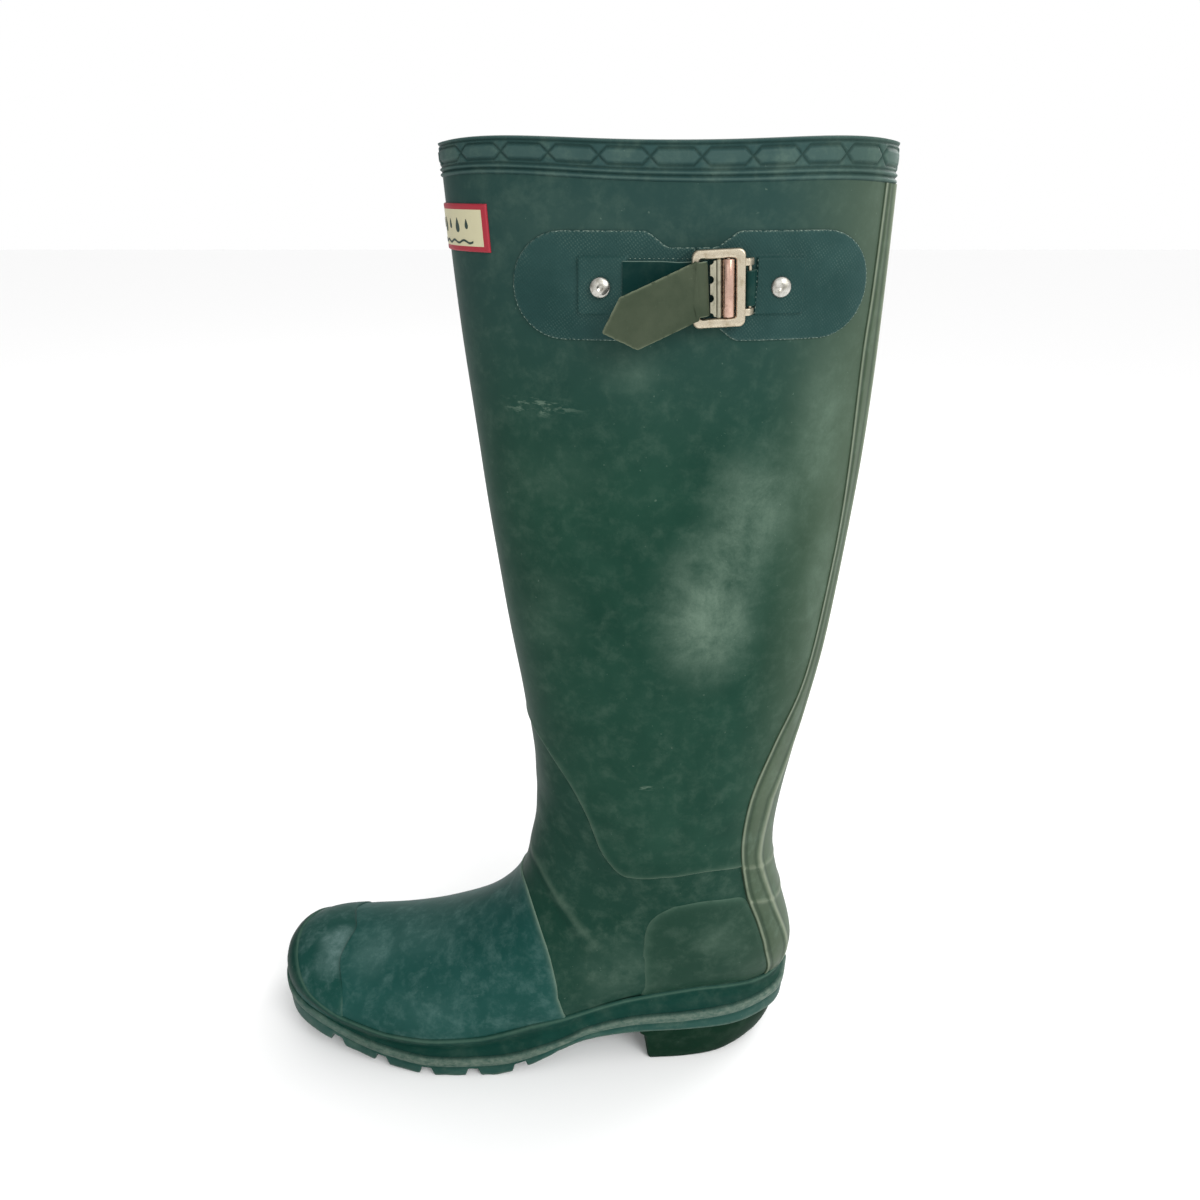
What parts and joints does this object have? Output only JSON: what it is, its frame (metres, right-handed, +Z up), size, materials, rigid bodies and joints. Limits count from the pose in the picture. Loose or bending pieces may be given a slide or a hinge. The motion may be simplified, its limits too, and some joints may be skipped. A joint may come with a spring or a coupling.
{
  "type": "rubber rain boot",
  "caption": "Tall left rubber rain boot of bonded panels, with a lugged sole, a block heel, an embossed rim band and a side strap with a roller clamp buckle.",
  "frame": {"origin": "on the ground, under the middle of the boot's bounding box", "axes": "+Z up the leg, -X towards the toe, -Y towards the outer side with the buckle"},
  "size_m": [0.2793, 0.1012, 0.4312],
  "materials": {
    "lining_cloth": "knitted cotton, matt",
    "green_rubber": "smooth vulcanised rubber with a dull bloom",
    "insole_cloth": "felt, matt",
    "sole_rubber": "dusty moulded rubber",
    "heel_rubber": "moulded rubber",
    "rand_rubber": "smooth rubber strip",
    "foot_rubber": "smooth rubber with a whitish bloom",
    "strip_rubber": "worn smooth rubber",
    "band_rubber": "embossed rubber",
    "label_rubber": "moulded cream rubber with a red edge",
    "patch_rubber": "rubber with a fine woven grain",
    "strap_rubber": "smooth rubber strap",
    "tail_rubber": "worn smooth rubber",
    "rivet_steel": "domed, lightly worn",
    "nickel": "worn nickel plate",
    "plate_steel": "stamped steel"
  },
  "bodies": {
    "boot": {"lining": "lining_cloth", "upper_shell": "green_rubber", "insole": "insole_cloth", "midsole_filler": "sole_rubber", "outsole": "sole_rubber", "heel_block": "heel_rubber", "rand": "rand_rubber", "vamp": "foot_rubber", "toe_cap": "foot_rubber", "ankle_piece": "foot_rubber", "heel_counter": "foot_rubber", "back_strip": "strip_rubber", "leg_panel": "green_rubber", "top_band": "band_rubber", "front_label": "label_rubber", "front_strap_patch": "patch_rubber", "rear_strap_patch": "patch_rubber", "strap": "strap_rubber", "buckle_chape": "strap_rubber", "rivets": "rivet_steel", "rivet_washers": "rivet_steel", "hinge_pin": "nickel"},
    "tail": {"strap_tail": "tail_rubber"},
    "buckle": {"buckle_frame": "nickel", "roller_pin": "nickel"},
    "buckle_roller": {"roller": "nickel"},
    "clamp": {"clamp_plate": "plate_steel"}
  },
  "joints": [
    {"name": "tail_swing", "type": "hinge", "parent": "boot", "child": "tail", "pos_m": [0.0627, -0.04485, 0.384], "axis": [-0.0872, 0, 0.9962], "range_deg": [-8, 85], "stiffness_Nm_per_rad": 0.002},
    {"name": "buckle_rock", "type": "hinge", "parent": "boot", "child": "buckle", "pos_m": [0.08109, -0.0392, 0.38477], "axis": [-0.0523, 0, 0.9986], "range_deg": [0, 2.5]},
    {"name": "roller_spin", "type": "hinge", "parent": "buckle", "child": "buckle_roller", "pos_m": [0.0735, -0.0413, 0.38437], "axis": [-0.0523, 0, 0.9986], "continuous": true},
    {"name": "clamp_open", "type": "hinge", "parent": "buckle", "child": "clamp", "pos_m": [0.0702, -0.0413, 0.3842], "axis": [-0.0523, 0, 0.9986], "range_deg": [0, 60]}
  ]
}
